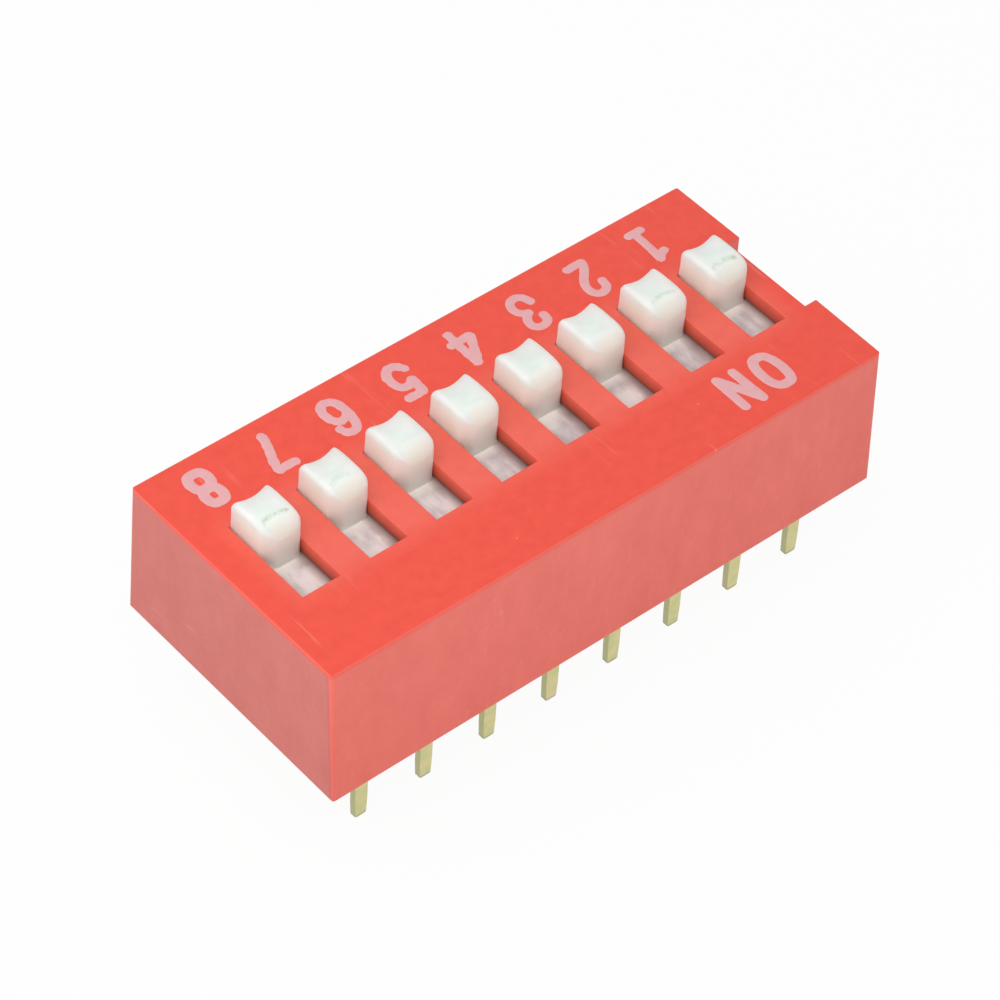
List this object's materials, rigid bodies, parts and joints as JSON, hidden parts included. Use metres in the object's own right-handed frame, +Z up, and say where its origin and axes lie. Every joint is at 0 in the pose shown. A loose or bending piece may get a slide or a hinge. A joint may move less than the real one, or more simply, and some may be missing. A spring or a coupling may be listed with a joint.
{
  "type": "dip switch",
  "caption": "Through-hole DIP switch with a row of raised slide actuators in a low rectangular cover, numbered positions, an ON side and two rows of flat pins.",
  "frame": {"origin": "centre of the seating plane, which is the rim of the cover; the pins reach below it", "axes": "+X along the row from switch 1 to switch 8, +Y from the OFF side to the ON side, +Z up from the board"},
  "size_m": [0.0218, 0.01, 0.0096],
  "materials": {
    "cover": "red moulded plastic, satin, lightly scuffed",
    "base": "black moulded plastic",
    "seal": "poured amber sealing resin",
    "actuators": "white moulded plastic, satin",
    "contacts": "gold-plated spring strip",
    "terminals": "dull gold-plated strip"
  },
  "bodies": {
    "housing": {"cover": "cover", "base": "base", "seal": "seal", "terminal_1": "terminals", "terminal_2": "terminals", "terminal_3": "terminals", "terminal_4": "terminals", "terminal_5": "terminals", "terminal_6": "terminals", "terminal_7": "terminals", "terminal_8": "terminals", "terminal_9": "terminals", "terminal_10": "terminals", "terminal_11": "terminals", "terminal_12": "terminals", "terminal_13": "terminals", "terminal_14": "terminals", "terminal_15": "terminals", "terminal_16": "terminals"},
    "slider_1": {"actuator_1": "actuators", "contact_1": "contacts"},
    "slider_2": {"actuator_2": "actuators", "contact_2": "contacts"},
    "slider_3": {"actuator_3": "actuators", "contact_3": "contacts"},
    "slider_4": {"actuator_4": "actuators", "contact_4": "contacts"},
    "slider_5": {"actuator_5": "actuators", "contact_5": "contacts"},
    "slider_6": {"actuator_6": "actuators", "contact_6": "contacts"},
    "slider_7": {"actuator_7": "actuators", "contact_7": "contacts"},
    "slider_8": {"actuator_8": "actuators", "contact_8": "contacts"}
  },
  "joints": [
    {"name": "switch_1", "type": "slide", "parent": "housing", "child": "slider_1", "axis": [0, 1, 0], "range_m": [0, 0.0017]},
    {"name": "switch_2", "type": "slide", "parent": "housing", "child": "slider_2", "axis": [0, 1, 0], "range_m": [0, 0.0017]},
    {"name": "switch_3", "type": "slide", "parent": "housing", "child": "slider_3", "axis": [0, 1, 0], "range_m": [0, 0.0017]},
    {"name": "switch_4", "type": "slide", "parent": "housing", "child": "slider_4", "axis": [0, 1, 0], "range_m": [0, 0.0017]},
    {"name": "switch_5", "type": "slide", "parent": "housing", "child": "slider_5", "axis": [0, 1, 0], "range_m": [0, 0.0017]},
    {"name": "switch_6", "type": "slide", "parent": "housing", "child": "slider_6", "axis": [0, 1, 0], "range_m": [0, 0.0017]},
    {"name": "switch_7", "type": "slide", "parent": "housing", "child": "slider_7", "axis": [0, 1, 0], "range_m": [0, 0.0017]},
    {"name": "switch_8", "type": "slide", "parent": "housing", "child": "slider_8", "axis": [0, 1, 0], "range_m": [0, 0.0017]}
  ]
}
